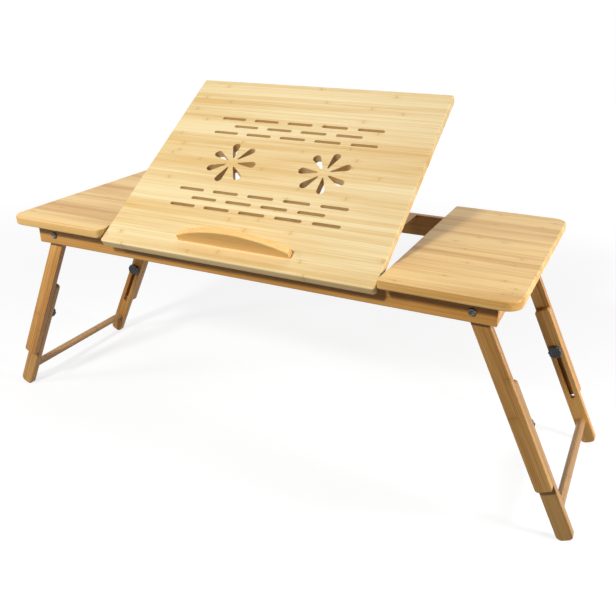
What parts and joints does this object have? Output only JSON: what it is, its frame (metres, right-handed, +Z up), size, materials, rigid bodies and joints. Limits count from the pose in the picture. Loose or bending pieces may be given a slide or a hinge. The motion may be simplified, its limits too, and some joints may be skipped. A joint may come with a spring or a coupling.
{
  "type": "laptop table",
  "caption": "Bamboo laptop table: vented tilting panel with a ledge between fixed side panels, on splayed folding legs whose length is set with clamp knobs.",
  "frame": {"origin": "centre of the table on the floor under it", "axes": "+X along the table to the user's right, +Y away from the user, +Z up"},
  "size_m": [0.8962, 0.33, 0.4828],
  "materials": {
    "bamboo_board": "satin",
    "bamboo_strip": "satin",
    "steel": "satin",
    "brass": "satin",
    "black_plastic": "matte"
  },
  "bodies": {
    "frame": {"front_rail": "bamboo_strip", "rear_rail": "bamboo_strip", "left_end_rail": "bamboo_strip", "right_end_rail": "bamboo_strip", "left_side_panel": "bamboo_board", "right_side_panel": "bamboo_board", "left_cross_bar": "bamboo_strip", "right_cross_bar": "bamboo_strip", "left_step_block": "bamboo_strip", "right_step_block": "bamboo_strip", "step_block_screws": "steel", "panel_dowels": "bamboo_strip", "end_rail_dowels": "bamboo_strip", "tilt_pins": "steel", "tilt_spacers": "black_plastic", "leg_pivot_bolts": "steel", "leg_pivot_washers": "steel", "leg_pivot_nuts": "steel"},
    "tilt_top": {"tilt_panel": "bamboo_board", "laptop_ledge": "bamboo_strip", "ledge_screws": "steel", "prop_saddles": "black_plastic", "saddle_screws": "steel"},
    "prop": {"prop_bail": "steel"},
    "left_leg": {"left_front_upper_slat": "bamboo_strip", "left_rear_upper_slat": "bamboo_strip", "left_inserts": "brass"},
    "left_foot": {"left_front_lower_slat": "bamboo_strip", "left_rear_lower_slat": "bamboo_strip", "left_foot_bar": "bamboo_strip"},
    "left_front_knob": {"left_front_clamp_knob": "black_plastic", "left_front_clamp_stud": "steel", "left_front_clamp_washer": "steel"},
    "left_rear_knob": {"left_rear_clamp_knob": "black_plastic", "left_rear_clamp_stud": "steel", "left_rear_clamp_washer": "steel"},
    "right_leg": {"right_front_upper_slat": "bamboo_strip", "right_rear_upper_slat": "bamboo_strip", "right_inserts": "brass"},
    "right_foot": {"right_front_lower_slat": "bamboo_strip", "right_rear_lower_slat": "bamboo_strip", "right_foot_bar": "bamboo_strip"},
    "right_front_knob": {"right_front_clamp_knob": "black_plastic", "right_front_clamp_stud": "steel", "right_front_clamp_washer": "steel"},
    "right_rear_knob": {"right_rear_clamp_knob": "black_plastic", "right_rear_clamp_stud": "steel", "right_rear_clamp_washer": "steel"}
  },
  "joints": [
    {"name": "panel_tilt", "type": "hinge", "parent": "frame", "child": "tilt_top", "pos_m": [0, -0.142, 0.31136], "axis": [-1, 0, 0], "range_deg": [0, 33]},
    {"name": "prop_fold", "type": "hinge", "parent": "tilt_top", "child": "prop", "pos_m": [0, -0.01952, 0.37981], "axis": [1, 0, 0], "range_deg": [0, 130]},
    {"name": "left_leg_fold", "type": "hinge", "parent": "frame", "child": "left_leg", "pos_m": [-0.30473, 0, 0.28786], "axis": [0, -1, 0], "range_deg": [0, 115.5]},
    {"name": "left_leg_length", "type": "slide", "parent": "left_leg", "child": "left_foot", "axis": [0.4305, 0, 0.9026], "range_m": [0, 0.0755]},
    {"name": "left_front_knob_turn", "type": "hinge", "parent": "left_leg", "child": "left_front_knob", "pos_m": [-0.37533, -0.1104, 0.13983], "axis": [0, -1, 0], "range_deg": [0, 180]},
    {"name": "left_rear_knob_turn", "type": "hinge", "parent": "left_leg", "child": "left_rear_knob", "pos_m": [-0.37533, 0.1104, 0.13983], "axis": [0, 1, 0], "range_deg": [0, 180]},
    {"name": "right_leg_fold", "type": "hinge", "parent": "frame", "child": "right_leg", "pos_m": [0.30473, 0, 0.28786], "axis": [0, 1, 0], "range_deg": [0, 115.5]},
    {"name": "right_leg_length", "type": "slide", "parent": "right_leg", "child": "right_foot", "axis": [-0.4305, 0, 0.9026], "range_m": [0, 0.0755]},
    {"name": "right_front_knob_turn", "type": "hinge", "parent": "right_leg", "child": "right_front_knob", "pos_m": [0.37533, -0.1104, 0.13983], "axis": [0, -1, 0], "range_deg": [0, 180]},
    {"name": "right_rear_knob_turn", "type": "hinge", "parent": "right_leg", "child": "right_rear_knob", "pos_m": [0.37533, 0.1104, 0.13983], "axis": [0, 1, 0], "range_deg": [0, 180]}
  ],
  "couplings": [
    {"joint": "prop_fold", "follows": "panel_tilt", "ratio": 3.9393}
  ]
}
